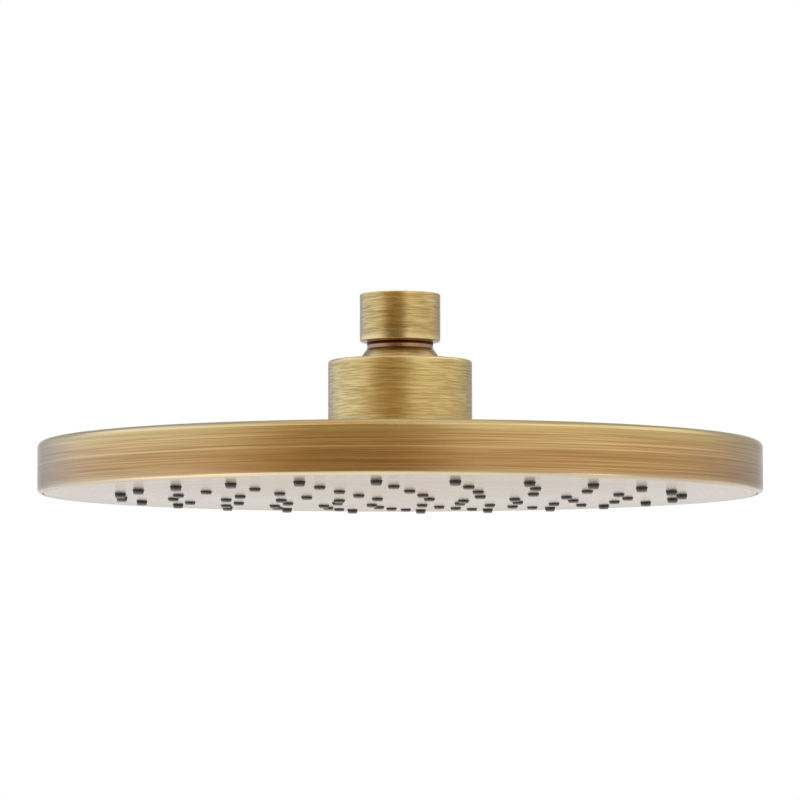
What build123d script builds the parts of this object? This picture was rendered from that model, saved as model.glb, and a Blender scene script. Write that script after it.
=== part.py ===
from build123d import *

import os
from math import atan, cos, radians, sin, sqrt

# A round rain shower head that hangs from a threaded pipe on a ball joint. The inlet nut, its neck and
# the ball are one turned piece. The hub holds the ball, and a hollow stem clamps the hub, the shallow
# pan and the water chamber together. Silicone nozzles stand through the face plate that closes the pan
# from below. Millimetres. The origin is the middle of the inlet's mouth, +Z points up the pipe and -Y
# faces the viewer.

# Inlet nut, neck and ball
nut_diameter = 28.0
nut_height = 16.5
nut_top_break = 0.3
nut_lower_round = 0.5
nut_ledge_flat = 0.2
neck_diameter = 22.9
neck_length = 2.45
ball_diameter = 31.0
ball_foot_angle = 40.0
waterway_diameter = 11.0

# Half inch pipe thread in the inlet, shown by its minor diameter
thread_diameter = 18.63
thread_depth = 12.5

# Washer and filter in the relief below the thread
relief_diameter = 21.0
washer_thickness = 2.2
washer_bore = 13.0
screen_thickness = 0.5
screen_hole = 1.8
screen_ring_pitch = 2.7
screen_rings = 2

# Flow regulator in its pocket below the filter
pocket_diameter = 16.0
regulator_height = 5.8
regulator_cup_diameter = 10.4
regulator_cup_depth = 3.0
regulator_post_diameter = 4.4
regulator_hole = 1.5
regulator_holes = 6
regulator_ring_section = 1.6
control_ring_section = 1.6

# Hub and what holds the ball in it
hub_diameter = 50.0
hub_height = 28.0
hub_edge_round = 0.8
hub_lower_break = 0.3
ball_sink = 6.2
lip_height = 2.2
lip_flare = 0.5
seat_wall = 3.0
friction_ring_rise = 0.6
seat_drop = 1.0
seat_height = 9.5
seal_section = 2.4
seal_angle = 64.0
seat_ring_section = 1.8
seat_ring_drop = 2.6
seat_nut_height = 4.5
seat_nut_step = 0.45
seat_nut_slot = 3.0
seat_nut_slot_depth = 1.8

# Hollow stem that clamps hub, pan and chamber lid together
stem_gap = 1.5
stem_step = 1.0
stem_flange_diameter = 52.0
stem_flange_height = 3.0
stem_flange_room = 1.0
stem_slot = 5.0
stem_slot_depth = 1.4
hub_gasket_thickness = 0.8
hub_gasket_width = 3.2
stem_gasket_thickness = 1.0

# Pan: top and rim in one drawn sheet
disc_diameter = 250.0
rim_height = 17.6
rim_wall = 1.8
top_wall = 1.5
rim_top_round = 2.0
rim_lower_round = 1.5
pan_inner_round = 1.0

# Face plate and its crown
face_seam = 0.15
face_thickness = 1.2
sheet_edge_break = 0.25
crown_depth = 2.4
crown_turn = 106.0

# Nozzle mat
mat_thickness = 1.5
nozzle_base_diameter = 3.9
nozzle_tip_diameter = 3.2
nozzle_tip_round = 0.35
nozzle_bore = 1.1
nozzle_length = 1.0
rim_nozzle_length = 1.55
nozzle_ring_radius = 23.1
nozzle_ring_pitch = 18.5
nozzle_ring_step = 4
nozzle_ring_angle = 70.5
nozzle_margin = 6.0

# Water chamber lid and its screws
chamber_height = 3.5
lid_thickness = 2.5
lid_inset = 2.9
lid_boss_height = 5.0
lid_boss_wall = 3.0
chamber_wall = 3.0
chamber_wall_inset = 0.5
lid_rib_width = 2.4
lid_rib_height = 5.0
screw_count = 12
screw_edge = 4.0
screw_diameter = 3.0
screw_head_diameter = 5.6
screw_head_height = 2.0
screw_reach = 4.0
face_boss_diameter = 6.4
face_boss_gap = 0.8

# Clearances
ball_clearance = 0.12
turning_clearance = 0.1
thread_clearance = 0.1
loose_clearance = 0.3
nozzle_clearance = 0.2
mat_clearance = 0.1
ring_clearance = 0.05
overlap = 1.0

# Radii
nut_radius = nut_diameter / 2
neck_radius = neck_diameter / 2
ball_radius = ball_diameter / 2
thread_radius = thread_diameter / 2
relief_radius = relief_diameter / 2
pocket_radius = pocket_diameter / 2
waterway_radius = waterway_diameter / 2
hub_radius = hub_diameter / 2
cup_radius = ball_radius + ball_clearance
socket_radius = ball_radius + seat_wall
stem_radius = socket_radius - thread_clearance
stem_hole_radius = socket_radius + loose_clearance
flange_radius = stem_flange_diameter / 2
disc_radius = disc_diameter / 2
pan_radius = disc_radius - rim_wall
face_radius = pan_radius - face_seam
lid_radius = face_radius - lid_inset
screw_circle = lid_radius - screw_edge
mat_radius = screw_circle - face_boss_diameter / 2 - face_boss_gap
chamber_radius = mat_radius - chamber_wall_inset
crown_radius = chamber_radius - chamber_wall
nozzle_radius = nozzle_base_diameter / 2
tip_radius = nozzle_tip_diameter / 2

# Heights down the inlet
relief_floor = -thread_depth - mat_clearance - washer_thickness - screen_thickness
regulator_top = relief_floor - turning_clearance
regulator_bottom = regulator_top - regulator_height
pocket_floor = regulator_bottom - turning_clearance
ball_centre = -nut_height - neck_length - sqrt(ball_radius**2 - neck_radius**2)
ball_foot = ball_centre - ball_radius * cos(radians(ball_foot_angle))

# Heights in the hub
hub_top = ball_centre + ball_sink
hub_bottom = hub_top - hub_height
lip_ledge = hub_top - lip_height
seat_top = ball_centre - seat_drop
seat_bottom = seat_top - seat_height
seat_nut_top = seat_bottom - turning_clearance
seat_nut_bottom = seat_nut_top - seat_nut_height
seat_nut_radius = sqrt(cup_radius**2 - (ball_centre - seat_bottom) ** 2) + seat_nut_step
stem_top = seat_nut_bottom - stem_gap
stem_bore_radius = seat_nut_radius + stem_step

# Heights in the disc
pan_top = hub_bottom - hub_gasket_thickness
pan_ceiling = pan_top - top_wall
rim_bottom = pan_top - rim_height
boss_floor = pan_ceiling - lid_boss_height
flange_top = boss_floor - stem_gasket_thickness
flange_bottom = flange_top - stem_flange_height
mat_bottom = rim_bottom + face_thickness + mat_clearance
mat_top = mat_bottom + mat_thickness
lid_bottom = mat_top + chamber_height
lid_top = lid_bottom + lid_thickness
boss_radius = flange_radius + stem_flange_room + lid_boss_wall


def turned(*corners):
    """A solid turned about Z. A corner of its half section is a radius, a height and, if any, its round."""
    points = [corner[:2] for corner in corners]
    rounds = [corner[2] if len(corner) == 3 else 0 for corner in corners]
    outline = FilletPolyline(*points, radius=rounds, close=True)
    return revolve(Plane.XZ * make_face(outline), Axis.Z)


def ring(inner, outer, low, high):
    """A flat ring between two heights."""
    return turned((inner, low), (outer, low), (outer, high), (inner, high))


def disc(radius, low, high):
    """A plain round disc between two heights."""
    return Pos(0, 0, low) * Cylinder(radius, high - low, align=(Align.CENTER, Align.CENTER, Align.MIN))


def o_ring(radius, height, section):
    """A round-section ring, given the radius of its middle line."""
    return Pos(0, 0, height) * Torus(radius, section / 2)


def around(count, radius, start=0.0):
    """Places spaced evenly on a circle about Z."""
    return [Rot(0, 0, start + 360 * i / count) * Pos(radius, 0, 0) for i in range(count)]


def cross_slots(width, radius, low, depth):
    """Two crossed slots for a pin spanner, cut upwards from a lower face."""
    bar = Box(2 * radius + overlap, width, 2 * depth)
    return [Pos(0, 0, low) * bar, Pos(0, 0, low) * Rot(0, 0, 90) * bar]


def ball_space(radius):
    """A sphere about the centre of the ball joint."""
    return Pos(0, 0, ball_centre) * Sphere(radius)


def crown_angle():
    """The steepest slope of the face's crown, where its bulge turns into the flat rim."""
    return 2 * atan(crown_depth / crown_radius)


def crown_drop(radius):
    """How far the crowned face lies below its flat rim at a radius."""
    if radius >= crown_radius:
        return 0.0
    slope = sin(crown_angle())
    if radius > crown_turn:
        outer_arc = (crown_radius - crown_turn) / slope
        return outer_arc - sqrt(outer_arc**2 - (crown_radius - radius) ** 2)
    inner_arc = crown_turn / slope
    return crown_depth - inner_arc + sqrt(inner_arc**2 - radius**2)


def crowned_sheet(radius, low, thickness):
    """A round sheet, flat at its rim, that bellies down towards the middle along two tangent arcs."""
    high = low + thickness
    turn_drop = crown_drop(crown_turn)
    slope = (cos(crown_angle()), sin(crown_angle()))
    edges = []
    for level in (low, high):
        middle = (0, level - crown_depth)
        turn = (crown_turn, level - turn_drop)
        edges.append(TangentArc(middle, turn, tangent=(1, 0)))
        edges.append(TangentArc(turn, (crown_radius, level), tangent=slope))
    edges.append(Polyline((crown_radius, low), (radius - sheet_edge_break, low),
                          (radius, low + sheet_edge_break), (radius, high), (crown_radius, high)))
    edges.append(Line((0, low - crown_depth), (0, high - crown_depth)))
    return revolve(Plane.XZ * make_face(edges), Axis.Z)


def nozzle_places():
    """Each nozzle's place, the radius of its ring and how far it stands out of the face."""
    field = crown_radius - nozzle_margin - nozzle_ring_radius
    ring_count = int(field // nozzle_ring_pitch) + 1
    places = []
    for k in range(ring_count):
        radius = nozzle_ring_radius + k * nozzle_ring_pitch
        length = rim_nozzle_length if k == ring_count - 1 else nozzle_length
        for place in around(nozzle_ring_step * (k + 2), radius, nozzle_ring_angle):
            places.append((place, radius, length))
    return places


# The piece that screws onto the pipe: nut, neck and ball with the bores through them
def make_ball_connector():
    lower_round = min(nut_lower_round, nut_radius - neck_radius - nut_ledge_flat)
    nut = turned((0, 0), (nut_radius, 0, nut_top_break), (nut_radius, -nut_height, lower_round),
                 (neck_radius, -nut_height), (neck_radius, ball_centre), (0, ball_centre))
    ball = ball_space(ball_radius) - disc(ball_diameter, ball_foot - ball_diameter, ball_foot)
    bores = turned((0, overlap), (thread_radius, overlap), (thread_radius, -thread_depth),
                   (relief_radius, -thread_depth), (relief_radius, relief_floor),
                   (pocket_radius, relief_floor), (pocket_radius, pocket_floor),
                   (waterway_radius, pocket_floor), (waterway_radius, ball_foot - overlap),
                   (0, ball_foot - overlap))
    return nut + ball - bores


# Washer snapped into the thread relief
def make_inlet_washer():
    return ring(washer_bore / 2, relief_radius - loose_clearance,
                relief_floor + screen_thickness, relief_floor + screen_thickness + washer_thickness)


# Pierced filter disc under the washer
def make_filter_screen():
    screen = disc(relief_radius - loose_clearance, relief_floor, relief_floor + screen_thickness)
    hole = disc(screen_hole / 2, relief_floor - overlap, relief_floor + screen_thickness + overlap)
    holes = [hole]
    for k in range(1, screen_rings + 1):
        holes += [place * hole for place in around(6 * k, k * screen_ring_pitch)]
    return screen - holes


# Cup-shaped flow regulator with a groove for its outer ring
def regulator_ring_radius():
    """Middle line of the ring between the regulator and its pocket."""
    return pocket_radius - ring_clearance - regulator_ring_section / 2


def make_flow_regulator():
    groove_middle = (regulator_top + regulator_bottom) / 2
    groove_half = regulator_ring_section / 2 + ring_clearance
    body = disc(pocket_radius - turning_clearance, regulator_bottom, regulator_top)
    cup = ring(regulator_post_diameter / 2, regulator_cup_diameter / 2,
               regulator_top - regulator_cup_depth, regulator_top + overlap)
    groove = ring(regulator_ring_radius() - groove_half, pocket_radius + overlap,
                  groove_middle - groove_half, groove_middle + groove_half)
    hole = disc(regulator_hole / 2, regulator_bottom - overlap, regulator_top)
    hole_circle = (regulator_post_diameter + regulator_cup_diameter) / 4
    return body - cup - groove - [place * hole for place in around(regulator_holes, hole_circle)]


def make_regulator_o_ring():
    return o_ring(regulator_ring_radius(), (regulator_top + regulator_bottom) / 2, regulator_ring_section)


# Soft ring in the regulator's cup that narrows the holes as the pressure rises
def make_flow_control_ring():
    radius = (regulator_post_diameter + regulator_cup_diameter) / 4
    height = regulator_top - regulator_cup_depth + control_ring_section / 2 + ring_clearance
    return o_ring(radius, height, control_ring_section)


# Hub: a turned cup whose lip holds the ball from above
def make_hub():
    body = turned((0, hub_bottom), (hub_radius, hub_bottom, hub_lower_break),
                  (hub_radius, hub_top, hub_edge_round), (0, hub_top))
    mouth = sqrt(cup_radius**2 - ball_sink**2)
    flare = turned((0, hub_top - lip_flare), (mouth, hub_top - lip_flare),
                   (mouth + 2 * lip_flare, hub_top + lip_flare), (0, hub_top + lip_flare))
    return body - disc(socket_radius, hub_bottom - overlap, lip_ledge) - ball_space(cup_radius) - flare


# Plastic ring between the lip and the upper half of the ball
def make_friction_ring():
    body = disc(socket_radius - turning_clearance, ball_centre + friction_ring_rise, lip_ledge)
    return body - ball_space(cup_radius)


# Plastic seat under the ball, with a groove for the seal on the ball and one for the ring in the hub
def seat_ring_radius():
    """Middle line of the ring between the seat and the hub."""
    return socket_radius - ring_clearance - seat_ring_section / 2


def seal_reach():
    """Distance of the ball seal's middle line from the centre of the ball."""
    return ball_radius + ring_clearance + seal_section / 2


def make_ball_seal(section=seal_section):
    return o_ring(seal_reach() * sin(radians(seal_angle)),
                  ball_centre - seal_reach() * cos(radians(seal_angle)), section)


def make_seat_o_ring():
    return o_ring(seat_ring_radius(), seat_top - seat_ring_drop, seat_ring_section)


def make_ball_seat():
    body = disc(socket_radius - turning_clearance, seat_bottom, seat_top) - ball_space(cup_radius)
    groove_half = seat_ring_section / 2 + ring_clearance
    groove = ring(seat_ring_radius() - groove_half, socket_radius + overlap,
                  seat_top - seat_ring_drop - groove_half, seat_top - seat_ring_drop + groove_half)
    return body - groove - make_ball_seal(seal_section + 2 * ring_clearance)


# Threaded ring that presses the seat against the ball
def make_seat_nut():
    body = ring(seat_nut_radius, stem_radius, seat_nut_bottom, seat_nut_top)
    return body - cross_slots(seat_nut_slot, stem_radius, seat_nut_bottom, seat_nut_slot_depth)


# Hollow bolt through pan and lid into the hub, with the gaskets above and below the two
def make_stem():
    body = turned((stem_bore_radius, stem_top), (stem_radius, stem_top), (stem_radius, flange_top),
                  (flange_radius, flange_top), (flange_radius, flange_bottom),
                  (stem_bore_radius, flange_bottom))
    return body - cross_slots(stem_slot, flange_radius, flange_bottom, stem_slot_depth)


def make_hub_gasket():
    return ring(stem_hole_radius, stem_hole_radius + hub_gasket_width, pan_top, hub_bottom)


def make_stem_gasket():
    return ring(stem_hole_radius, flange_radius, flange_top, boss_floor)


# Pan drawn from one sheet, open below
def make_top_pan():
    return turned((stem_hole_radius, pan_top), (disc_radius, pan_top, rim_top_round),
                  (disc_radius, rim_bottom, rim_lower_round), (pan_radius, rim_bottom),
                  (pan_radius, pan_ceiling, pan_inner_round), (stem_hole_radius, pan_ceiling))


# Moulded lid of the water chamber, with a boss on the stem, ribs and a wall that presses on the mat's edge
def make_chamber_lid():
    boss_inner = boss_radius - lid_boss_wall
    lid = turned((stem_hole_radius, pan_ceiling), (boss_radius, pan_ceiling), (boss_radius, lid_top),
                 (lid_radius, lid_top), (lid_radius, lid_bottom), (chamber_radius, lid_bottom),
                 (chamber_radius, mat_top), (crown_radius, mat_top), (crown_radius, lid_bottom),
                 (boss_inner, lid_bottom), (boss_inner, boss_floor), (stem_hole_radius, boss_floor))
    rib_length = chamber_radius - boss_inner - overlap
    rib = Box(rib_length, lid_rib_width, lid_rib_height + overlap,
              align=(Align.MIN, Align.CENTER, Align.MIN))
    lid += [place * Pos(0, 0, lid_top - overlap) * rib
            for place in around(screw_count, boss_inner + overlap, 180 / screw_count)]
    hole = disc((screw_diameter + loose_clearance) / 2, lid_bottom - overlap, lid_top + overlap)
    return lid - [place * hole for place in around(screw_count, screw_circle)]


# Silicone mat on the back of the face plate, with a tapered, round-tipped and bored nozzle for each hole
def make_nozzle_mat():
    mat = crowned_sheet(mat_radius, mat_bottom, mat_thickness)
    nozzles = []
    bores = []
    for place, radius, length in nozzle_places():
        face = rim_bottom - crown_drop(radius)
        inside = mat_bottom - crown_drop(radius) + mat_thickness / 2
        nozzles.append(place * turned((0, inside), (nozzle_radius, inside), (nozzle_radius, face),
                                      (tip_radius, face - length, nozzle_tip_round),
                                      (0, face - length)))
        bores.append(place * disc(nozzle_bore / 2, face - length - overlap, inside + mat_thickness))
    return mat + nozzles - bores


# Crowned face plate with a hole for each nozzle and tapped bosses on its back
def make_face_plate():
    plate = crowned_sheet(face_radius, rim_bottom, face_thickness)
    hole = disc(nozzle_radius + nozzle_clearance, rim_bottom - crown_depth - overlap,
                rim_bottom + face_thickness + overlap)
    plate -= [place * hole for place, _, _ in nozzle_places()]
    boss = disc(face_boss_diameter / 2, rim_bottom + face_thickness / 2, lid_bottom)
    tapped = disc(screw_diameter / 2 + ring_clearance,
                  lid_bottom - screw_reach - ring_clearance, lid_bottom + overlap)
    plate += [place * boss for place in around(screw_count, screw_circle)]
    return plate - [place * tapped for place in around(screw_count, screw_circle)]


# Screws through the lid into the face plate's bosses
def make_lid_screws():
    screw = turned((0, lid_bottom - screw_reach), (screw_diameter / 2, lid_bottom - screw_reach),
                   (screw_diameter / 2, lid_top), (screw_head_diameter / 2, lid_top),
                   (screw_head_diameter / 2, lid_top + screw_head_height, screw_head_height / 2),
                   (0, lid_top + screw_head_height))
    return Compound([place * screw for place in around(screw_count, screw_circle)])


pieces = {
    "ball_connector": make_ball_connector(),
    "inlet_washer": make_inlet_washer(),
    "filter_screen": make_filter_screen(),
    "flow_regulator": make_flow_regulator(),
    "regulator_o_ring": make_regulator_o_ring(),
    "flow_control_ring": make_flow_control_ring(),
    "hub": make_hub(),
    "friction_ring": make_friction_ring(),
    "ball_seat": make_ball_seat(),
    "ball_seal": make_ball_seal(),
    "seat_o_ring": make_seat_o_ring(),
    "seat_nut": make_seat_nut(),
    "stem": make_stem(),
    "hub_gasket": make_hub_gasket(),
    "stem_gasket": make_stem_gasket(),
    "top_pan": make_top_pan(),
    "chamber_lid": make_chamber_lid(),
    "nozzle_mat": make_nozzle_mat(),
    "face_plate": make_face_plate(),
    "lid_screws": make_lid_screws(),
}

os.makedirs("parts", exist_ok=True)
for name, piece in pieces.items():
    export_step(piece, f"parts/{name}.step")
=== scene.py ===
"""Looks of a round rain shower head in brushed brass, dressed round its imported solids."""

from __future__ import annotations

import logging
import math
from dataclasses import dataclass, field
from enum import Enum
from typing import Callable, Dict, List, Mapping, Optional, Sequence, Tuple, Union

import bpy
from mathutils import Euler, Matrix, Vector

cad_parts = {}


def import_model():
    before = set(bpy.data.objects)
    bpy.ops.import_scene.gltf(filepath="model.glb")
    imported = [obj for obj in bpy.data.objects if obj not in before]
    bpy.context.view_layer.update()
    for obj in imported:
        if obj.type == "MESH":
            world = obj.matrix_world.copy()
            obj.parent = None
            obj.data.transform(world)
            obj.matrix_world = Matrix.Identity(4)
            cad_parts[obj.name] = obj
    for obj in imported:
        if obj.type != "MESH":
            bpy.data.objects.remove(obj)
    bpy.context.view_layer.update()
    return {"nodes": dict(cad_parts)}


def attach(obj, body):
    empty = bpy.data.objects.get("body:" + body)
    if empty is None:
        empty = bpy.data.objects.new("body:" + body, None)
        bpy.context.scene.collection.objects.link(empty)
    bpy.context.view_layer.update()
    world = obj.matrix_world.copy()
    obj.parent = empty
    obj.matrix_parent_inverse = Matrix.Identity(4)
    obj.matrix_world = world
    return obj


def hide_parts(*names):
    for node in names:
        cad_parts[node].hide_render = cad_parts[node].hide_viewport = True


LOG = logging.getLogger("shower_head")
IMAGE_SIDE = 800

# Noise textures vary about this value.
NOISE_MIDDLE = 0.5
BUMP_STRENGTH = 0.5

# Corners nearer to each other than this, in metres, become one: on a turned seam, and after a cut.
SEAM_REACH = 0.000005
SLIVER_REACH = 0.000002

# Edges that turn by more than this, in degrees, stay sharp on a new piece.
SHARP_EDGE = 32.0

Point = Tuple[float, float]
Span = Tuple[float, float]
Colour = Tuple[float, float, float, float]
Piece = bpy.types.Object
Nodes = Mapping[str, Piece]

WHITE: Colour = (1.0, 1.0, 1.0, 1.0)


class Body(Enum):
    """The bodies that new pieces ride on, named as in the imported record."""

    INLET = "inlet"
    HEAD = "head"


class Slot(Enum):
    """The record's material slots."""

    BRUSHED_BRASS = "brushed_brass"
    TURNED_BRASS = "turned_brass"
    NOZZLE_SILICONE = "nozzle_silicone"
    SEAL_RUBBER = "seal_rubber"
    STAINLESS_STEEL = "stainless_steel"
    WHITE_ACETAL = "white_acetal"
    GREY_ABS = "grey_abs"


@dataclass(frozen=True)
class HeadSizes:
    """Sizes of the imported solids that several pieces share, in metres, and the heights that follow."""

    nut_radius: float = 0.014
    nut_height: float = 0.0165
    neck_radius: float = 0.01145
    ball_radius: float = 0.0155
    ball_centre: float = -0.0293974
    ball_sink: float = 0.0062
    hub_radius: float = 0.025
    hub_height: float = 0.028
    hub_gasket: float = 0.0008
    disc_radius: float = 0.125
    rim_height: float = 0.0176

    @property
    def hub_top(self) -> float:
        """Height of the hub's upper face."""
        return self.ball_centre + self.ball_sink

    @property
    def rim_top(self) -> float:
        """Height of the disc's upper face."""
        return self.hub_top - self.hub_height - self.hub_gasket

    @property
    def rim_bottom(self) -> float:
        """Height of the rim's lower edge."""
        return self.rim_top - self.rim_height


@dataclass(frozen=True)
class Tint:
    """A colour as it is written for a screen, from 0 to 255 a channel."""

    red: float
    green: float
    blue: float

    def linear(self) -> Colour:
        """The colour in linear light, with full alpha, by the sRGB curve.

        Returns:
            Red, green, blue and alpha.
        """
        values = []
        for channel in (self.red, self.green, self.blue):
            share = channel / 255.0
            values.append(share / 12.92 if share <= 0.04045 else ((share + 0.055) / 1.055) ** 2.4)
        return values[0], values[1], values[2], 1.0


# Pale brass: the colour of real scratches, and of painted highlights on edges.
PALE_SCRATCH_AND_HIGHLIGHT = Tint(238, 214, 160)


class Signal:
    """A node's output socket that takes part in sums as a number does."""

    def __init__(self, board: NodeBoard, socket: Optional[bpy.types.NodeSocket]) -> None:
        """Wraps one output of a node on the board, or None for a node that has none."""
        self.board = board
        self.socket = socket

    def __add__(self, other: Value) -> Signal:
        """This plus another."""
        return self.board.math("ADD", self, other)

    def __radd__(self, other: Value) -> Signal:
        """Another plus this."""
        return self.board.math("ADD", other, self)

    def __sub__(self, other: Value) -> Signal:
        """This less another."""
        return self.board.math("SUBTRACT", self, other)

    def __rsub__(self, other: Value) -> Signal:
        """Another less this."""
        return self.board.math("SUBTRACT", other, self)

    def __mul__(self, other: Value) -> Signal:
        """This times another."""
        return self.board.math("MULTIPLY", self, other)

    def __rmul__(self, other: Value) -> Signal:
        """Another times this."""
        return self.board.math("MULTIPLY", other, self)

    def __truediv__(self, other: Value) -> Signal:
        """This divided by another."""
        return self.board.math("DIVIDE", self, other)

    def __rtruediv__(self, other: Value) -> Signal:
        """Another divided by this."""
        return self.board.math("DIVIDE", other, self)

    def __pow__(self, other: Value) -> Signal:
        """This to a power."""
        return self.board.math("POWER", self, other)

    def __rpow__(self, other: Value) -> Signal:
        """Another to the power of this."""
        return self.board.math("POWER", other, self)

    def sibling(self, output: Union[str, int]) -> Signal:
        """Another output of the same node, by name or number."""
        return Signal(self.board, self.socket.node.outputs[output])

    def between(self, low: float, high: float, fade: float) -> Signal:
        """A soft-edged stretch of values.

        Args:
            low: Where the stretch begins.
            high: Where it ends.
            fade: How far each end takes to fade, half on either side.

        Returns:
            1 inside the stretch, 0 outside.
        """
        rise = self.smooth_between(low - fade / 2, low + fade / 2)
        fall = self.smooth_between(high - fade / 2, high + fade / 2)
        return rise * (1.0 - fall)

    def smooth_between(self, low: float, high: float) -> Signal:
        """A smooth step, 0 up to the low value and 1 from the high one on."""
        return self.board.add(
            "ShaderNodeMapRange",
            {"interpolation_type": "SMOOTHSTEP"},
            {"Value": self, "From Min": low, "From Max": high},
        )


Value = Union[Signal, Tint, float, Sequence[float]]


class NodeBoard:
    """The node tree of one material or world."""

    def __init__(self, tree: bpy.types.NodeTree) -> None:
        """Empties the tree of a material or a world and takes it over."""
        tree.nodes.clear()
        self.tree = tree

    @classmethod
    def material(cls, name: str, shade: Callable[[NodeBoard], Signal]) -> bpy.types.Material:
        """Makes a material.

        Args:
            name: The material's name.
            shade: What builds its shader on a node tree.

        Returns:
            The material.
        """
        made = bpy.data.materials.new(name)
        made.use_nodes = True
        board = cls(made.node_tree)
        board.add("ShaderNodeOutputMaterial", inputs={"Surface": shade(board)})
        return made

    def add(
        self,
        kind: str,
        settings: Optional[Mapping[str, object]] = None,
        inputs: Optional[Mapping[Union[str, int], Value]] = None,
        output: Union[str, int] = 0,
    ) -> Signal:
        """Makes one node, sets it up and feeds its sockets.

        Args:
            kind: The node's type.
            settings: Its settings, set first.
            inputs: Values, tints or signals for its sockets, by name or number.
            output: The output that the signal stands for.

        Returns:
            The chosen output.
        """
        node = self.tree.nodes.new(kind)
        for name, value in (settings or {}).items():
            setattr(node, name, value)
        for key, value in (inputs or {}).items():
            socket = node.inputs[key]
            if isinstance(value, Signal):
                self.tree.links.new(value.socket, socket)
            elif isinstance(value, Tint):
                socket.default_value = value.linear()
            else:
                socket.default_value = value
        return Signal(self, node.outputs[output] if len(node.outputs) else None)

    def math(self, operation: str, left: Value, right: Value) -> Signal:
        """What a Math node's operation makes of two numbers."""
        return self.add("ShaderNodeMath", {"operation": operation}, {0: left, 1: right})

    def mix(self, share: Value, first: Value, second: Value) -> Signal:
        """A blend of two colours, the first at a share of 0 and the second at 1."""
        return self.add("ShaderNodeMix", {"data_type": "RGBA"}, {0: share, 6: first, 7: second}, 2)

    def split(self, vector: Signal) -> Tuple[Signal, Signal, Signal]:
        """The three parts of a vector, x first."""
        first = self.add("ShaderNodeSeparateXYZ", inputs={0: vector})
        return first, first.sibling(1), first.sibling(2)

    def noise(self, place: Signal, size: float, detail: float = 2.0) -> Signal:
        """Noise about its middle, its clouds of a size in metres, with finer layers by its detail."""
        return self.add(
            "ShaderNodeTexNoise", inputs={"Vector": place, "Scale": 1.0 / size, "Detail": detail}
        )

    def bump(self, depth: float, height: Signal) -> Signal:
        """A fine relief for a shader's Normal, of a depth in metres and a height from 0 to about 1."""
        return self.add(
            "ShaderNodeBump", inputs={"Strength": BUMP_STRENGTH, "Distance": depth, "Height": height}
        )


@dataclass(frozen=True)
class Turning:
    """Where a point lies on a turned piece: as one vector, across the axis, along it, and its radius."""

    spot: Signal
    x: Signal
    y: Signal
    z: Signal
    radius: Signal

    @classmethod
    def of(cls, board: NodeBoard) -> Turning:
        """Reads the place from object coordinates.

        Args:
            board: The tree that the nodes go into.

        Returns:
            The place as signals.
        """
        spot = board.add("ShaderNodeTexCoord", output="Object")
        x, y, z = board.split(spot)
        return cls(spot, x, y, z, (x * x + y * y) ** 0.5)


@dataclass(frozen=True)
class Strokes:
    """Marks of a brush round a turned piece: how close they lie, how long they are and how they waver."""

    pitch: float
    length: float
    detail: float = 2.0
    waver: float = 0.0
    waver_length: float = 0.0035
    waver_detail: float = 1.0

    def on(self, board: NodeBoard, place: Turning) -> Signal:
        """Draws the marks.

        Args:
            board: The tree that the nodes go into.
            place: Where the point lies on the piece.

        Returns:
            A value about the noise's middle that changes quickly across the marks and slowly along them.
        """
        along = place.z
        if self.waver > 0.0:
            drift = board.noise(place.spot, self.waver_length, self.waver_detail)
            along = along + (drift - NOISE_MIDDLE) * self.waver
        vector = board.add(
            "ShaderNodeCombineXYZ",
            inputs={0: place.x / self.length, 1: place.y / self.length, 2: along / self.pitch},
        )
        return board.add(
            "ShaderNodeTexNoise",
            {"noise_dimensions": "4D"},
            {"Vector": vector, "W": place.radius / self.pitch, "Scale": 1.0, "Detail": self.detail},
        )


@dataclass(frozen=True)
class EdgeRing:
    """A turned edge with a painted highlight: its colour pales towards a light tint near the edge."""

    radius: float
    height: float
    reach: float = 0.0016
    share: float = 0.4
    tint: Tint = PALE_SCRATCH_AND_HIGHLIGHT

    def painted_highlight(self, place: Turning) -> Signal:
        """How much of the painted highlight a point gets.

        Args:
            place: Where the point lies on the piece.

        Returns:
            The edge's share on it, down to 0 at its reach.
        """
        across = place.radius - self.radius
        along = place.z - self.height
        away = (across * across + along * along) ** 0.5
        return (1.0 - away.smooth_between(0.0, self.reach)) * self.share


@dataclass(frozen=True)
class ToneBand:
    """A stretch of the axis where the brass has another colour: a tone such as copper, or painted light or
    shade.
    """

    low: float
    high: float
    tint: Tint
    share: float = 1.0
    fade: float = 0.0003
    dull: float = 0.0

    def shows(self, place: Turning) -> Signal:
        """How much of the other tone shows at a point: the band's share inside it, 0 away from it."""
        return place.z.between(self.low, self.high, self.fade) * self.share


@dataclass(frozen=True)
class Finish:
    """What every finish has: the name of its material, its slot in the record and one shader."""

    name: str
    slot: Slot

    def inputs(self, board: NodeBoard) -> Dict[str, Value]:
        """What feeds the shader.

        Args:
            board: The material's node tree.

        Returns:
            Values and signals by the socket's name.
        """
        raise NotImplementedError

    def shade(self, board: NodeBoard) -> Signal:
        """Builds the shader, the same for every finish but for what feeds it."""
        return board.add("ShaderNodeBsdfPrincipled", inputs=self.inputs(board))


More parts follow.
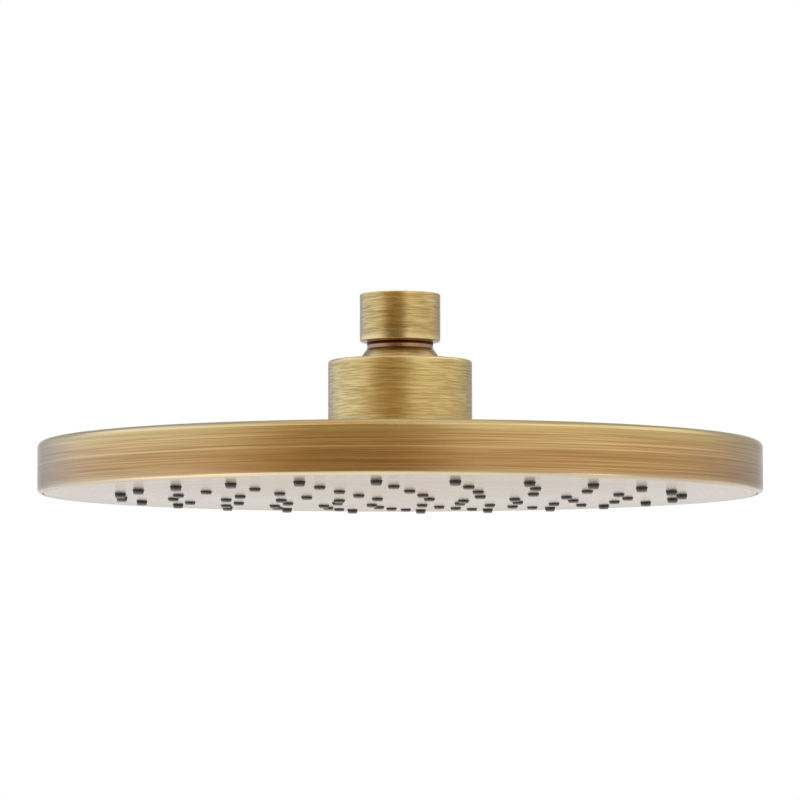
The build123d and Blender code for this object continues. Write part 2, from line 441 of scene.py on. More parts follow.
@dataclass(frozen=True)
class BrushedBrass(Finish):
    """Brass in a bronze tone, brushed round on the lathe and lacquered."""

    light: Tint = Tint(212, 175, 109)
    deep: Tint = Tint(171, 129, 71)
    warm: Tint = Tint(190, 142, 80)
    worn: Tint = PALE_SCRATCH_AND_HIGHLIGHT
    fine: Strokes = Strokes(pitch=0.00030, length=0.040, detail=1.0)
    coarse: Strokes = Strokes(pitch=0.0006, length=0.090, detail=1.0)
    cloud: Strokes = Strokes(pitch=0.0060, length=0.080)
    score: Strokes = Strokes(pitch=0.0006, length=0.120, detail=0.0)
    fine_window: Span = (0.40, 0.60)
    coarse_window: Span = (0.36, 0.64)
    warm_window: Span = (0.4, 0.7)
    score_window: Span = (0.62, 0.74)
    fine_share: float = 0.65
    warm_share: float = 0.35
    score_share: float = 0.45
    roughness: float = 0.32
    roughness_spread: float = 0.14
    painted_highlight_polish: float = 0.12
    dull_roughness: float = 0.3
    anisotropy: float = 0.62
    brush_turn: float = 0.25
    coat: float = 0.8
    coat_roughness: float = 0.24
    grain_depth: float = 0.00014
    coarse_relief: float = 0.3
    edges: Tuple[EdgeRing, ...] = ()
    bands: Tuple[ToneBand, ...] = ()

    def inputs(self, board: NodeBoard) -> Dict[str, Value]:
        """What feeds the shader.

        Args:
            board: The material's node tree.

        Returns:
            Values and signals by the socket's name.
        """
        place = Turning.of(board)
        fine = self.fine.on(board, place)
        coarse = self.coarse.on(board, place)
        cloud = self.cloud.on(board, place)
        score = self.score.on(board, place)
        marks = fine.smooth_between(*self.fine_window) * self.fine_share
        marks = marks + coarse.smooth_between(*self.coarse_window) * (1.0 - self.fine_share)
        colour = board.mix(marks, self.light, self.deep)
        colour = board.mix(cloud.smooth_between(*self.warm_window) * self.warm_share, colour, self.warm)
        colour = board.mix(score.smooth_between(*self.score_window) * self.score_share, colour, self.worn)
        roughness = self.roughness + (fine - NOISE_MIDDLE) * self.roughness_spread
        # Painted highlights: near each edge ring the colour pales and the roughness drops.
        for edge in self.edges:
            painted_highlight = edge.painted_highlight(place)
            colour = board.mix(painted_highlight, colour, edge.tint)
            roughness = roughness - painted_highlight * self.painted_highlight_polish
        lacquer: Value = self.coat
        for band in self.bands:
            shows = band.shows(place)
            colour = board.mix(shows, colour, band.tint)
            if band.dull > 0.0:
                dulled = shows * band.dull
                lacquer = lacquer * (1.0 - dulled)
                roughness = roughness + dulled * self.dull_roughness
        return {
            "Base Color": colour,
            "Metallic": 1.0,
            "Roughness": roughness,
            "Anisotropic": self.anisotropy,
            "Anisotropic Rotation": self.brush_turn,
            "Coat Weight": lacquer,
            "Coat Roughness": self.coat_roughness,
            "Normal": board.bump(self.grain_depth, fine + coarse * self.coarse_relief),
        }


@dataclass(frozen=True)
class PlainMetal(Finish):
    """Bare metal with the fine marks that a lathe tool or a drawing die leaves."""

    light: Tint
    deep: Tint
    marks: Strokes
    roughness: float
    roughness_spread: float
    mark_depth: float = 0.0
    mark_window: Span = (0.3, 0.7)

    def inputs(self, board: NodeBoard) -> Dict[str, Value]:
        """What feeds the shader.

        Args:
            board: The material's node tree.

        Returns:
            Values and signals by the socket's name.
        """
        mark = self.marks.on(board, Turning.of(board))
        feeds: Dict[str, Value] = {
            "Base Color": board.mix(mark.smooth_between(*self.mark_window), self.light, self.deep),
            "Metallic": 1.0,
            "Roughness": self.roughness + (mark - NOISE_MIDDLE) * self.roughness_spread,
        }
        if self.mark_depth > 0.0:
            feeds["Normal"] = board.bump(self.mark_depth, mark)
        return feeds


@dataclass(frozen=True)
class Moulded(Finish):
    """A moulded plastic or rubber with a fine, slightly cloudy skin."""

    light: Tint
    deep: Tint
    grain: float = 0.0004
    grain_depth: float = 0.00002
    cloud: float = 0.004
    cloud_detail: float = 3.0
    cloud_window: Span = (0.35, 0.65)
    roughness: float = 0.5
    roughness_spread: float = 0.12

    def inputs(self, board: NodeBoard) -> Dict[str, Value]:
        """What feeds the shader.

        Args:
            board: The material's node tree.

        Returns:
            Values and signals by the socket's name.
        """
        place = board.add("ShaderNodeTexCoord", output="Object")
        grain = board.noise(place, self.grain)
        cloud = board.noise(place, self.cloud, self.cloud_detail)
        return {
            "Base Color": board.mix(cloud.smooth_between(*self.cloud_window), self.light, self.deep),
            "Roughness": self.roughness + (grain - NOISE_MIDDLE) * self.roughness_spread,
            "Normal": board.bump(self.grain_depth, grain),
        }


@dataclass(frozen=True)
class CrownedFace:
    """The lower surface of the disc, which bellies down towards the middle."""

    rim: float
    depth: float
    radius: float
    turn: float

    def height(self, place: Turning) -> Signal:
        """The face's height at a point's radius, good as far out as the nozzles stand."""
        arc = self.turn / math.sin(2 * math.atan(self.depth / self.radius))
        return self.rim - self.depth + place.radius * place.radius / (2 * arc)


@dataclass(frozen=True)
class NozzleSilicone(Finish):
    """Grey silicone, with painted shade at the foot of each nozzle and painted light towards its tip."""

    face: CrownedFace
    length: float = 0.0010
    rim_length: float = 0.00155
    rim_from: float = 0.088
    rim_fade: float = 0.002
    # The colours of the painted shade at each nozzle's foot and of the painted light at its tip.
    foot: Tint = Tint(12, 11, 10)
    tip: Tint = Tint(146, 144, 142)
    foot_share: float = 0.25
    tip_share: float = 1.1
    grain: float = 0.0004
    grain_depth: float = 0.00002
    roughness: float = 0.46
    roughness_spread: float = 0.1

    def inputs(self, board: NodeBoard) -> Dict[str, Value]:
        """What feeds the shader.

        Args:
            board: The material's node tree.

        Returns:
            Values and signals by the socket's name.
        """
        place = Turning.of(board)
        below = self.face.height(place) - place.z
        grain = board.noise(place.spot, self.grain)
        half_fade = self.rim_fade / 2
        outermost = place.radius.smooth_between(self.rim_from - half_fade, self.rim_from + half_fade)
        length = self.length + outermost * (self.rim_length - self.length)
        reach = (below + (grain - NOISE_MIDDLE) * self.grain) / length
        # Painted shade at each nozzle's foot, fading to painted light towards its tip.
        painted_light_share = reach.smooth_between(self.foot_share, self.tip_share)
        return {
            "Base Color": board.mix(painted_light_share, self.foot, self.tip),
            "Roughness": self.roughness + (grain - NOISE_MIDDLE) * self.roughness_spread,
            "Normal": board.bump(self.grain_depth, grain),
        }


SEAL_RUBBER = Moulded("seal_rubber", Slot.SEAL_RUBBER, Tint(58, 58, 59), Tint(44, 44, 45), roughness=0.6)
WHITE_ACETAL = Moulded(
    "white_acetal",
    Slot.WHITE_ACETAL,
    Tint(236, 236, 232),
    Tint(226, 226, 221),
    roughness=0.38,
    grain_depth=0.00001,
)
GREY_ABS = Moulded("grey_abs", Slot.GREY_ABS, Tint(150, 150, 152), Tint(140, 140, 142))
PLAIN_BRASS = PlainMetal(
    "turned_brass",
    Slot.TURNED_BRASS,
    Tint(214, 186, 122),
    Tint(168, 134, 74),
    Strokes(pitch=0.00018, length=0.080, detail=0.0),
    roughness=0.28,
    roughness_spread=0.1,
    mark_depth=0.00002,
)
STAINLESS_STEEL = PlainMetal(
    "stainless_steel",
    Slot.STAINLESS_STEEL,
    Tint(206, 206, 204),
    Tint(168, 168, 168),
    Strokes(pitch=0.00015, length=0.006),
    roughness=0.3,
    roughness_spread=0.15,
)


@dataclass
class FinishShelf:
    """The materials made so far, one for each finish."""

    made: Dict[Finish, bpy.types.Material] = field(default_factory=dict)

    def dress(self, piece: Piece, finish: Finish) -> None:
        """Puts a finish on a piece, its material made when it is first asked for.

        Args:
            piece: A solid of the frame, or a new piece.
            finish: The finish that it gets.
        """
        if finish not in self.made:
            self.made[finish] = NodeBoard.material(finish.name, finish.shade)
        if piece.material_slots:
            for slot in piece.material_slots:
                slot.material = self.made[finish]
        else:
            piece.data.materials.append(self.made[finish])
        LOG.info("%s wears %s, slot %s", piece.name, finish.name, finish.slot.value)

    def dress_all(self, nodes: Nodes, finishes: Mapping[str, Finish]) -> None:
        """Puts finishes on solids of the frame, each found by the solid's name."""
        for name, finish in finishes.items():
            self.dress(nodes[name], finish)


class HandTools:
    """The modelling steps that the pieces share, each on the piece in hand."""

    @staticmethod
    def put_down() -> None:
        """Leaves edit mode and deselects everything."""
        if bpy.context.object is not None and bpy.context.object.mode != "OBJECT":
            bpy.ops.object.mode_set(mode="OBJECT")
        bpy.ops.object.select_all(action="DESELECT")

    @staticmethod
    def take_up(piece: Piece) -> None:
        """Selects one piece and makes it active.

        Args:
            piece: The piece to work on.
        """
        HandTools.put_down()
        piece.select_set(True)
        bpy.context.view_layer.objects.active = piece

    @staticmethod
    def arc(centre: Point, radius: float, start: float, end: float, steps: int) -> List[Point]:
        """Points on an arc of a half section.

        Args:
            centre: The arc's centre, as a radius and a height.
            radius: The arc's radius.
            start: First angle in degrees, from the outward direction up.
            end: Last angle in degrees.
            steps: Spans along the arc.

        Returns:
            The points, both ends with them.
        """
        points = []
        for i in range(steps + 1):
            angle = math.radians(start + (end - start) * i / steps)
            points.append((centre[0] + radius * math.cos(angle), centre[1] + radius * math.sin(angle)))
        return points

    @staticmethod
    def outline(name: str, points: Sequence[Point]) -> Piece:
        """Draws a closed half section in the XZ plane by extruding a point from corner to corner.

        Args:
            name: The new piece's name.
            points: The corners, each a radius and a height.

        Returns:
            The piece, still a loop of edges and in edit mode.
        """
        HandTools.put_down()
        bpy.ops.mesh.primitive_plane_add(location=(0, 0, 0))
        piece = bpy.context.object
        piece.name = name
        piece.data.name = name
        bpy.ops.object.mode_set(mode="EDIT")
        bpy.ops.mesh.select_mode(type="VERT")
        bpy.ops.mesh.select_all(action="SELECT")
        bpy.ops.mesh.merge(type="CENTER")
        first = points[0]
        bpy.ops.transform.translate(value=(first[0], 0, first[1]))
        for before, after in zip(points, points[1:]):
            step = (after[0] - before[0], 0, after[1] - before[1])
            bpy.ops.mesh.extrude_region_move(TRANSFORM_OT_translate={"value": step})
        bpy.ops.object.mode_set(mode="OBJECT")
        last = len(piece.data.vertices) - 1
        for vertex in piece.data.vertices:
            vertex.select = vertex.index in (0, last)
        bpy.ops.object.mode_set(mode="EDIT")
        bpy.ops.mesh.edge_face_add()
        return piece

    @staticmethod
    def turn(piece: Piece, steps: int) -> None:
        """Spins the outline in hand about Z into a closed turned solid.

        Args:
            piece: The piece that the outline is on, in edit mode.
            steps: Spans round the axis.
        """
        bpy.ops.mesh.select_all(action="SELECT")
        bpy.ops.mesh.spin(
            steps=steps, angle=2 * math.pi, center=(0, 0, 0), axis=(0, 0, 1), use_auto_merge=True
        )
        bpy.ops.mesh.select_all(action="SELECT")
        bpy.ops.mesh.remove_doubles(threshold=SEAM_REACH)
        bpy.ops.mesh.normals_make_consistent(inside=False)
        bpy.ops.object.mode_set(mode="OBJECT")
        LOG.info("%s turned, %d faces", piece.name, len(piece.data.polygons))

    @staticmethod
    def apply(piece: Piece, modifier: bpy.types.Modifier) -> None:
        """Applies one modifier to the piece that carries it."""
        HandTools.take_up(piece)
        bpy.ops.object.modifier_apply(modifier=modifier.name)

    @staticmethod
    def clean(piece: Piece) -> None:
        """Clears away the slivers that a cut leaves.

        Args:
            piece: The piece that was cut.
        """
        HandTools.take_up(piece)
        bpy.ops.object.mode_set(mode="EDIT")
        bpy.ops.mesh.select_mode(type="VERT")
        bpy.ops.mesh.select_all(action="SELECT")
        bpy.ops.mesh.remove_doubles(threshold=SLIVER_REACH)
        bpy.ops.mesh.dissolve_degenerate(threshold=SLIVER_REACH)
        bpy.ops.object.mode_set(mode="OBJECT")

    @staticmethod
    def smooth(piece: Piece) -> None:
        """Shades a piece smooth, except across sharp edges.

        Args:
            piece: The piece.
        """
        HandTools.take_up(piece)
        bpy.ops.object.shade_smooth_by_angle(angle=math.radians(SHARP_EDGE))
        HandTools.put_down()


@dataclass
class ThreadedConnector:
    """Inlet nut, neck and ball, turned from one bar, with its half inch pipe thread cut."""

    head: HeadSizes = HeadSizes()
    nut_top_break: float = 0.0003
    nut_lower_round: float = 0.0005
    neck_groove: float = 0.00015
    ball_foot_angle: float = 40.0
    waterway_radius: float = 0.0055
    thread_minor_radius: float = 0.009315
    thread_major_radius: float = 0.0104775
    thread_pitch: float = 0.001814
    thread_flank_angle: float = 27.5
    thread_half_crest: float = 0.00015
    thread_depth: float = 0.0125
    thread_run_out: float = 0.6
    thread_start: float = 1.3
    cutter_overlap: float = 0.0004
    relief_radius: float = 0.0105
    relief_height: float = 0.0028
    pocket_radius: float = 0.008
    pocket_depth: float = 0.006
    mouth_chamfer: float = 0.0005
    round_steps: int = 8
    ball_steps: int = 40
    spans: int = 144
    cutter_spans: int = 72

    def bore(self) -> List[Point]:
        """The corners of the bore, from its mouth down to the foot of the ball.

        Returns:
            The corners, each a radius and a height.
        """
        relief_floor = -self.thread_depth - self.relief_height
        pocket_floor = relief_floor - self.pocket_depth
        foot_drop = self.head.ball_radius * math.cos(math.radians(self.ball_foot_angle))
        return [
            (self.thread_minor_radius + self.mouth_chamfer, 0.0),
            (self.thread_minor_radius, -self.mouth_chamfer),
            (self.thread_minor_radius, -self.thread_depth),
            (self.relief_radius, -self.thread_depth),
            (self.relief_radius, relief_floor),
            (self.pocket_radius, relief_floor),
            (self.pocket_radius, pocket_floor),
            (self.waterway_radius, pocket_floor),
            (self.waterway_radius, self.head.ball_centre - foot_drop),
        ]

    def outside(self) -> List[Point]:
        """The corners of the outside, from the foot of the ball up to the nut's mouth.

        Returns:
            The corners, each a radius and a height.
        """
        head = self.head
        neck_angle = math.degrees(math.acos(head.neck_radius / head.ball_radius))
        ball = HandTools.arc(
            (0.0, head.ball_centre),
            head.ball_radius, self.ball_foot_angle - 90.0, neck_angle, self.ball_steps,
        )
        neck_foot = ball[-1][1]
        neck = [
            (head.neck_radius - self.neck_groove, neck_foot),
            (head.neck_radius - self.neck_groove, neck_foot + self.neck_groove),
            (head.neck_radius, neck_foot + self.neck_groove),
            (head.neck_radius, -head.nut_height),
        ]
        lower = HandTools.arc(
            (head.nut_radius - self.nut_lower_round, self.nut_lower_round - head.nut_height),
            self.nut_lower_round, -90.0, 0.0, self.round_steps,
        )
        upper = HandTools.arc(
            (head.nut_radius - self.nut_top_break, -self.nut_top_break),
            self.nut_top_break, 0.0, 90.0, self.round_steps,
        )
        return ball + neck + lower + upper

    def thread_cutter(self) -> Piece:
        """Makes a helical ridge with the thread's section, to be cut out of the bore.

        Returns:
            The ridge, a closed piece.
        """
        run_in = self.thread_pitch
        inside = self.thread_minor_radius - self.cutter_overlap
        flank = (self.thread_major_radius - inside) * math.tan(math.radians(self.thread_flank_angle))
        crest = self.thread_half_crest
        section = [
            (inside, run_in - flank - crest),
            (self.thread_major_radius, run_in - crest),
            (self.thread_major_radius, run_in + crest),
            (inside, run_in + flank + crest),
        ]
        cutter = HandTools.outline("thread_cutter", section)
        bpy.ops.object.mode_set(mode="OBJECT")
        turns = (run_in + self.thread_depth) / self.thread_pitch + self.thread_run_out
        helix = cutter.modifiers.new("helix", "SCREW")
        helix.angle = 2 * math.pi * turns
        helix.screw_offset = -self.thread_pitch * turns
        helix.steps = round(self.cutter_spans * turns)
        helix.render_steps = helix.steps
        HandTools.apply(cutter, helix)
        bpy.ops.object.mode_set(mode="EDIT")
        bpy.ops.mesh.select_mode(type="EDGE")
        bpy.ops.mesh.select_all(action="DESELECT")
        bpy.ops.mesh.select_non_manifold()
        bpy.ops.mesh.edge_face_add()
        bpy.ops.mesh.select_all(action="SELECT")
        bpy.ops.transform.rotate(
            value=math.radians(self.thread_start), orient_axis="Z", center_override=(0, 0, 0)
        )
        bpy.ops.mesh.normals_make_consistent(inside=False)
        bpy.ops.object.mode_set(mode="OBJECT")
        return cutter

    def build(self) -> Piece:
        """Turns the piece and cuts its thread.

        Returns:
            The finished piece.
        """
        piece = HandTools.outline("threaded_connector", self.bore() + self.outside())
        HandTools.turn(piece, self.spans)
        cutter = self.thread_cutter()
        cut = piece.modifiers.new("thread", "BOOLEAN")
        cut.operation = "DIFFERENCE"
        cut.solver = "EXACT"
        cut.object = cutter
        HandTools.apply(piece, cut)
        bpy.data.objects.remove(cutter)
        HandTools.clean(piece)
        HandTools.smooth(piece)
        return piece


@dataclass
class InletAssembly:
    """What screws onto the pipe, its copper tone and painted shade on the neck given by their depths below
    the nut's ledge.
    """

    connector: ThreadedConnector = field(default_factory=ThreadedConnector)
    neck_shade: Tint = Tint(74, 36, 6)
    copper: Tint = Tint(172, 126, 88)
    shaded: Tint = Tint(138, 101, 46)
    neck_shade_top: float = 0.0001
    neck_shade_foot: float = 0.0013
    copper_top: float = 0.0014
    copper_foot: float = 0.00285
    shade_line_foot: float = 0.0032
    shaded_foot: float = 0.0050
    nut_edge_rise: float = 0.0008

    def brass(self) -> BrushedBrass:
        """The connector's finish, with painted highlights on the nut's edges, painted shade in the neck
        and on the ball's top, and copper in the neck.

        Returns:
            The finish.
        """
        nut_radius = self.connector.head.nut_radius
        ledge = -self.connector.head.nut_height
        copper_foot = ledge - self.copper_foot
        shade_line_foot = ledge - self.shade_line_foot
        return BrushedBrass(
            "brushed_brass_inlet",
            Slot.BRUSHED_BRASS,
            light=Tint(222, 193, 121),
            deep=Tint(162, 132, 71),
            warm=Tint(191, 156, 88),
            fine=Strokes(pitch=0.00026, length=0.0055, detail=1.0, waver=0.0003),
            coarse=Strokes(pitch=0.0005, length=0.0095, detail=1.0, waver=0.0004),
            cloud=Strokes(pitch=0.004, length=0.012),
            score=Strokes(pitch=0.0005, length=0.014, detail=0.0, waver=0.0004),
            roughness=0.29,
            anisotropy=0.45,
            grain_depth=0.00005,
            # Painted highlights on the nut's upper and lower edges.
            edges=(
                EdgeRing(nut_radius, 0.0, reach=0.0008),
                EdgeRing(nut_radius, ledge + self.nut_edge_rise, reach=0.0018, share=0.8),
            ),
            # Painted shade: dark brown under the nut's ledge and as a line between copper and ball, and a
            # darker band on the ball's top.
            bands=(
                ToneBand(
                    ledge - self.neck_shade_foot, ledge - self.neck_shade_top, self.neck_shade, fade=0.0005, dull=0.95
                ),
                ToneBand(copper_foot, ledge - self.copper_top, self.copper),
                ToneBand(shade_line_foot, copper_foot, self.neck_shade, share=0.5, fade=0.0002, dull=0.6),
                ToneBand(ledge - self.shaded_foot, shade_line_foot, self.shaded, share=0.5, fade=0.0012),
            ),
        )

    def build(self, nodes: Nodes, shelf: FinishShelf) -> None:
        """Models the connector and dresses the inlet's pieces.

        Args:
            nodes: The frame's solids by name.
            shelf: The finishes.
        """
        brass = self.brass()
        piece = self.connector.build()
        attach(piece, Body.INLET.value)
        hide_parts("ball_connector")
        shelf.dress(piece, brass)
        finishes = {
            "ball_connector": brass,
            "inlet_washer": SEAL_RUBBER,
            "regulator_o_ring": SEAL_RUBBER,
            "flow_control_ring": SEAL_RUBBER,
            "filter_screen": STAINLESS_STEEL,
            "flow_regulator": WHITE_ACETAL,
        }
        shelf.dress_all(nodes, finishes)


@dataclass
class BallSocket:
    """The hub with what holds the ball in it."""

    head: HeadSizes = HeadSizes()

    def brass(self) -> BrushedBrass:
        """The hub's finish, with a painted highlight on its upper edge.

        Returns:
            The finish.
        """
        return BrushedBrass(
            "brushed_brass_hub",
            Slot.BRUSHED_BRASS,
            light=Tint(230, 203, 130),
            deep=Tint(178, 149, 84),
            warm=Tint(200, 165, 95),
            fine=Strokes(pitch=0.00028, length=0.0065, detail=1.0, waver=0.0003),
            coarse=Strokes(pitch=0.0005, length=0.0110, detail=1.0, waver=0.0004),
            cloud=Strokes(pitch=0.005, length=0.016),
            score=Strokes(pitch=0.0005, length=0.018, detail=0.0, waver=0.0004),
            roughness=0.38,
            anisotropy=0.35,
            grain_depth=0.00008,
            # Painted highlight on the hub's upper edge.
            edges=(EdgeRing(self.head.hub_radius, self.head.hub_top, reach=0.0022, share=0.65),),
        )

    def build(self, nodes: Nodes, shelf: FinishShelf) -> None:
        """Dresses the hub and the pieces inside it.

        Args:
            nodes: The frame's solids by name.
            shelf: The finishes.
        """
        finishes = {
            "hub": self.brass(),
            "friction_ring": WHITE_ACETAL,
            "ball_seat": WHITE_ACETAL,
            "ball_seal": SEAL_RUBBER,
            "seat_o_ring": SEAL_RUBBER,
            "hub_gasket": SEAL_RUBBER,
            "stem_gasket": SEAL_RUBBER,
            "seat_nut": PLAIN_BRASS,
            "stem": PLAIN_BRASS,
        }
        shelf.dress_all(nodes, finishes)


@dataclass
class DrawnPan:
    """The disc's top and rim, drawn from one sheet, its rounds fine enough to mirror the room cleanly."""

    head: HeadSizes = HeadSizes()
    hole_radius: float = 0.0188
    rim_wall: float = 0.0018
    top_wall: float = 0.0015
    top_round: float = 0.002
    lower_round: float = 0.0015
    inner_round: float = 0.001
    flat_margin: float = 0.0003
    round_steps: int = 18
    spans: int = 360

    def half_section(self) -> List[Point]:
        """The corners of the half section, out along the top, down the rim and back inside.

        Returns:
            The corners, each a radius and a height.
        """
        radius = self.head.disc_radius
        top = self.head.rim_top
        bottom = self.head.rim_bottom
        inside = radius - self.rim_wall
        ceiling = top - self.top_wall
        margin = self.flat_margin
        upper = HandTools.arc(
            (radius - self.top_round, top - self.top_round),
            self.top_round, 90.0, 0.0, self.round_steps,
        )
        lower = HandTools.arc(
            (radius - self.lower_round, bottom + self.lower_round),
            self.lower_round, 0.0, -90.0, self.round_steps,
        )
        corner = HandTools.arc(
            (inside - self.inner_round, ceiling - self.inner_round),
            self.inner_round, 0.0, 90.0, self.round_steps,
        )
        return [
            (self.hole_radius, top),
            (upper[0][0] - margin, top),
            *upper,
            (radius, upper[-1][1] - margin),
            (radius, lower[0][1] + margin),
            *lower,
            (inside, bottom),
            (inside, corner[0][1] - margin),
            *corner,
            (corner[-1][0] - margin, ceiling),
            (self.hole_radius, ceiling),
        ]

    def build(self) -> Piece:
        """Spins the pan.

        Returns:
            The finished piece.
        """
        piece = HandTools.outline("drawn_pan", self.half_section())
        HandTools.turn(piece, self.spans)
        HandTools.smooth(piece)
        return piece


@dataclass
class RainDisc:
    """The wide disc: pan, face plate, nozzles and the chamber inside."""

    pan: DrawnPan = field(default_factory=DrawnPan)
    pale_line_rise: float = 0.0088974
    pale_line_half_width: float = 0.0002
    lower_edge_inset: float = 0.0005
    upper_light_depth: float = 0.0045
    lower_tone_rise: float = 0.0010
    crown_depth: float = 0.0024
    crown_radius: float = 0.10865
    crown_turn: float = 0.106

    def pan_brass(self) -> BrushedBrass:
        """The pan's finish, with painted highlights on the rim's upper and lower edges, a painted lighter
        band at the top of the rim wall, and a pale line round the rim with the wall darker below it.

        Returns:
            The finish.
        """
        head = self.pan.head
        outer = head.disc_radius
        lower_edge = outer - self.lower_edge_inset
        upper_light_foot = head.rim_top - self.upper_light_depth
        tone_rise = head.rim_bottom + self.lower_tone_rise
        pale_line_height = head.rim_bottom + self.pale_line_rise
        pale_line_low = pale_line_height - self.pale_line_half_width
        pale_line_high = pale_line_height + self.pale_line_half_width
        return BrushedBrass(
            "brushed_brass_pan",
            Slot.BRUSHED_BRASS,
            edges=(
                # Painted highlights on the rim's upper and lower rounds.
                EdgeRing(outer, head.rim_top, reach=0.0028, share=0.72, tint=Tint(228, 216, 170)),
                EdgeRing(lower_edge, head.rim_bottom, reach=0.0028, share=0.6, tint=Tint(244, 230, 192)),
            ),
            bands=(
                # Painted light: the top of the rim wall paler.
                ToneBand(upper_light_foot, head.rim_top, Tint(208, 188, 120), share=0.32, fade=0.003),
                # A pale line round the rim wall, and the wall darker and warmer from near the lower edge
                # up to it.
                ToneBand(tone_rise, pale_line_height, Tint(160, 106, 48), share=0.32),
                ToneBand(pale_line_low, pale_line_high, Tint(232, 200, 138), share=0.5),
            ),
        )

    def build(self, nodes: Nodes, shelf: FinishShelf) -> None:
        """Spins the pan and dresses the disc's pieces.

        Args:
            nodes: The frame's solids by name.
            shelf: The finishes.
        """
        brass = self.pan_brass()
        piece = self.pan.build()
        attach(piece, Body.HEAD.value)
        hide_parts("top_pan")
        shelf.dress(piece, brass)
        face = BrushedBrass(
            "brushed_brass_face",
            Slot.BRUSHED_BRASS,
            roughness=0.28,
            coat=0.95,
            coat_roughness=0.2,
            grain_depth=0.00003,
        )
        crown = CrownedFace(self.pan.head.rim_bottom, self.crown_depth, self.crown_radius, self.crown_turn)
        finishes = {
            "top_pan": brass,
            "face_plate": face,
            "nozzle_mat": NozzleSilicone("nozzle_silicone", Slot.NOZZLE_SILICONE, crown),
            "chamber_lid": GREY_ABS,
            "lid_screws": STAINLESS_STEEL,
        }
        shelf.dress_all(nodes, finishes)


@dataclass(frozen=True)
class Softbox:
    """A large soft lamp that faces the object, placed by angles in degrees from the viewer's side."""

    name: str
    azimuth: float
    elevation: float
    width: float
    height: float
    level: float
    distance: float = 1.6

    def build(self, aim: Vector) -> None:
        """Hangs the lamp.

        Args:
            aim: The point that it faces.
        """
        turn = math.radians(self.azimuth)
        rise = math.radians(self.elevation)
        away = Vector((math.sin(turn) * math.cos(rise), -math.cos(turn) * math.cos(rise), math.sin(rise)))
        facing = (-away).to_track_quat("-Z", "Y").to_euler()
        bpy.ops.object.light_add(type="AREA", location=aim + away * self.distance, rotation=facing)
        lamp = bpy.context.object
        lamp.name = self.name
        lamp.data.shape = "RECTANGLE"
        lamp.data.size = self.width
        lamp.data.size_y = self.height
        lamp.data.energy = self.level * math.pi * self.width * self.height
        LOG.info("lamp %s at level %.2f", self.name, self.level)


@dataclass(frozen=True)
class WallStretch:
    """A brighter or darker stretch of the room's wall, by bearings in degrees from the viewer's side."""

    gain: float
    begins: float
    full_from: float
    full_to: float
    ends: float
    tint: Colour = WHITE

    def share(self, bearing: Signal) -> Signal:
        """How much of the stretch lies in a direction.

        Args:
            bearing: The direction's bearing in radians, positive to the viewer's right.

        Returns:
            1 in the full stretch, 0 outside it.
        """
        rise = bearing.smooth_between(math.radians(self.begins), math.radians(self.full_from))
        fall = bearing.smooth_between(math.radians(self.full_to), math.radians(self.ends))
        return rise * (1.0 - fall)


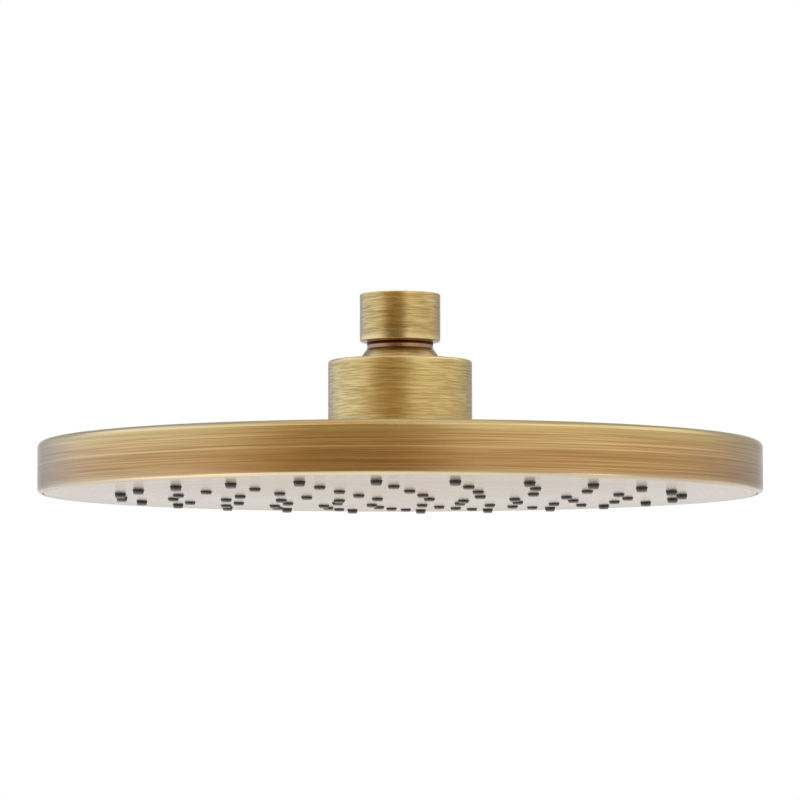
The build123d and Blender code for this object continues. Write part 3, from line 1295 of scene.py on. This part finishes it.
@dataclass
class Studio:
    """A pale room with soft lamps, and the camera at the photograph's angle."""

    aim: Vector = field(default_factory=lambda: Vector((0.0, 0.0, -0.045)))
    floor_height: float = -2.2
    floor_side: float = 16.0
    floor_tint: Tint = Tint(236, 236, 236)
    floor_roughness: float = 0.7
    floor_glow: float = 0.5
    floor_glow_reach: float = 4.65
    floor_glow_side: float = -1.43
    floor_glow_far: Colour = (0.2, 0.2, 0.2, 1.0)
    floor_seen: Colour = (0.72, 0.72, 0.72, 1.0)
    wall_level: float = 0.78
    top_level: float = 0.55
    top_rise: Span = (0.66, 0.92)
    cornice_level: float = 1.45
    cornice_rise: Span = (0.30, 0.68)
    cornice_fade: float = 0.20
    back_level: float = 0.42
    back_bearings: Span = (105.0, 140.0)
    back_rise: Span = (0.15, 0.40)
    fill_level: float = 0.75
    stretches: Tuple[WallStretch, ...] = (
        WallStretch(-0.61, -62.0, -24.0, -2.0, 26.0, (1.0, 0.78, 0.48, 1.0)),
        WallStretch(0.23, -165.0, -140.0, -85.0, -40.0, (0.93, 1.02, 1.22, 1.0)),
        WallStretch(0.08, 5.0, 32.0, 45.0, 80.0),
        WallStretch(-0.35, 95.0, 150.0, 156.0, 170.0),
        WallStretch(-0.40, -170.0, -156.0, -150.0, -115.0),
    )
    camera_place: Vector = field(default_factory=lambda: Vector((0.0, -1.3, -0.13617)))
    camera_rise: float = 0.0764
    camera_roll: float = 0.0005
    camera_yaw: float = 0.00007
    camera_reach: float = 50.0
    focal_pixels: float = 3762.0
    sensor: float = 36.0
    softboxes: Tuple[Softbox, ...] = (
        Softbox("top_softbox", azimuth=0.0, elevation=82.0, width=1.4, height=1.0, level=0.30),
        Softbox("right_softbox", azimuth=64.0, elevation=-24.0, width=0.5, height=0.5, level=1.0),
        Softbox("left_softbox", azimuth=-75.0, elevation=-38.0, width=1.5, height=0.7, level=0.5),
    )

    def build_camera(self) -> None:
        """Sets up the camera."""
        facing = Euler((math.pi / 2 + self.camera_rise, self.camera_roll, self.camera_yaw))
        bpy.ops.object.camera_add(location=self.camera_place, rotation=facing)
        camera = bpy.context.object
        camera.name = "photo_camera"
        camera.data.sensor_width = self.sensor
        camera.data.lens = self.focal_pixels * self.sensor / IMAGE_SIDE
        camera.data.clip_end = self.camera_reach
        bpy.context.scene.camera = camera

    def floor_shade(self, board: NodeBoard) -> Signal:
        """Builds the floor's shader, which glows most to the left of the object.

        Args:
            board: The material's node tree.

        Returns:
            The shader's output.
        """
        place = Turning.of(board)
        across = place.x - self.floor_glow_side
        away = ((across * across + place.y * place.y) ** 0.5).smooth_between(0.0, self.floor_glow_reach)
        glow = board.mix(away, WHITE, self.floor_glow_far)
        seen = board.add("ShaderNodeLightPath", output="Is Camera Ray")
        return board.add(
            "ShaderNodeBsdfPrincipled",
            inputs={
                "Base Color": self.floor_tint,
                "Roughness": self.floor_roughness,
                "Emission Color": board.mix(seen, glow, self.floor_seen),
                "Emission Strength": self.floor_glow,
            },
        )

    def build_floor(self) -> None:
        """Lays the pale floor far below the hanging head."""
        HandTools.put_down()
        bpy.ops.mesh.primitive_plane_add(size=self.floor_side, location=(0, 0, self.floor_height))
        floor = bpy.context.object
        floor.name = "floor"
        floor.data.materials.append(NodeBoard.material("pale_floor", self.floor_shade))

    def wall(self, board: NodeBoard, bearing: Signal, height: Signal) -> Signal:
        """How bright the room looks in a direction.

        Args:
            board: The world's node tree.
            bearing: The direction's bearing in radians.
            height: The sine of its elevation.

        Returns:
            The level, 1 for white.
        """
        level: Value = self.wall_level
        for stretch in self.stretches:
            level = level + stretch.share(bearing) * stretch.gain
        turn = board.math("ABSOLUTE", bearing, 0.0)
        behind = turn.smooth_between(*(math.radians(degrees) for degrees in self.back_bearings))
        level = level + behind * height.smooth_between(*self.back_rise) * (self.back_level - level)
        cornice = height.between(*self.cornice_rise, self.cornice_fade) * (1.0 - behind)
        level = level + cornice * (self.cornice_level - level)
        over = height.smooth_between(*self.top_rise)
        return level + over * (self.top_level - level)

    def build_room(self) -> None:
        """Lights the room: white to the camera, and in mirrors a wall of lighter and darker stretches."""
        world = bpy.data.worlds.new("studio")
        bpy.context.scene.world = world
        world.use_nodes = True
        board = NodeBoard(world.node_tree)
        x, y, z = board.split(board.add("ShaderNodeTexCoord", output="Generated"))
        bearing = board.math("ARCTAN2", x, 0.0 - y)
        seen = board.add("ShaderNodeLightPath", output="Is Camera Ray")
        mirrored = (seen.sibling("Is Glossy Ray") + seen.sibling("Is Transmission Ray")) * (1.0 - seen)
        level = seen + (1.0 - seen) * self.fill_level
        level = level + mirrored * (self.wall(board, bearing, z) - level)
        colour: Value = WHITE
        for stretch in self.stretches:
            if stretch.tint != WHITE:
                colour = board.mix(stretch.share(bearing) * mirrored, colour, stretch.tint)
        shader = board.add("ShaderNodeBackground", inputs={"Color": colour, "Strength": level})
        board.add("ShaderNodeOutputWorld", inputs={"Surface": shader})

    def build(self) -> None:
        """Builds the whole studio."""
        self.build_camera()
        self.build_floor()
        self.build_room()
        for softbox in self.softboxes:
            softbox.build(self.aim)


def main() -> None:
    """Builds the head's pieces and the studio."""
    logging.basicConfig(level=logging.INFO, format="%(name)s: %(message)s")
    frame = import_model()
    bpy.context.scene.view_settings.view_transform = "Standard"
    shelf = FinishShelf()
    Studio().build()
    for part in (InletAssembly(), BallSocket(), RainDisc()):
        part.build(frame["nodes"], shelf)
        LOG.info("%s built", type(part).__name__)


if __name__ == "__main__":
    main()
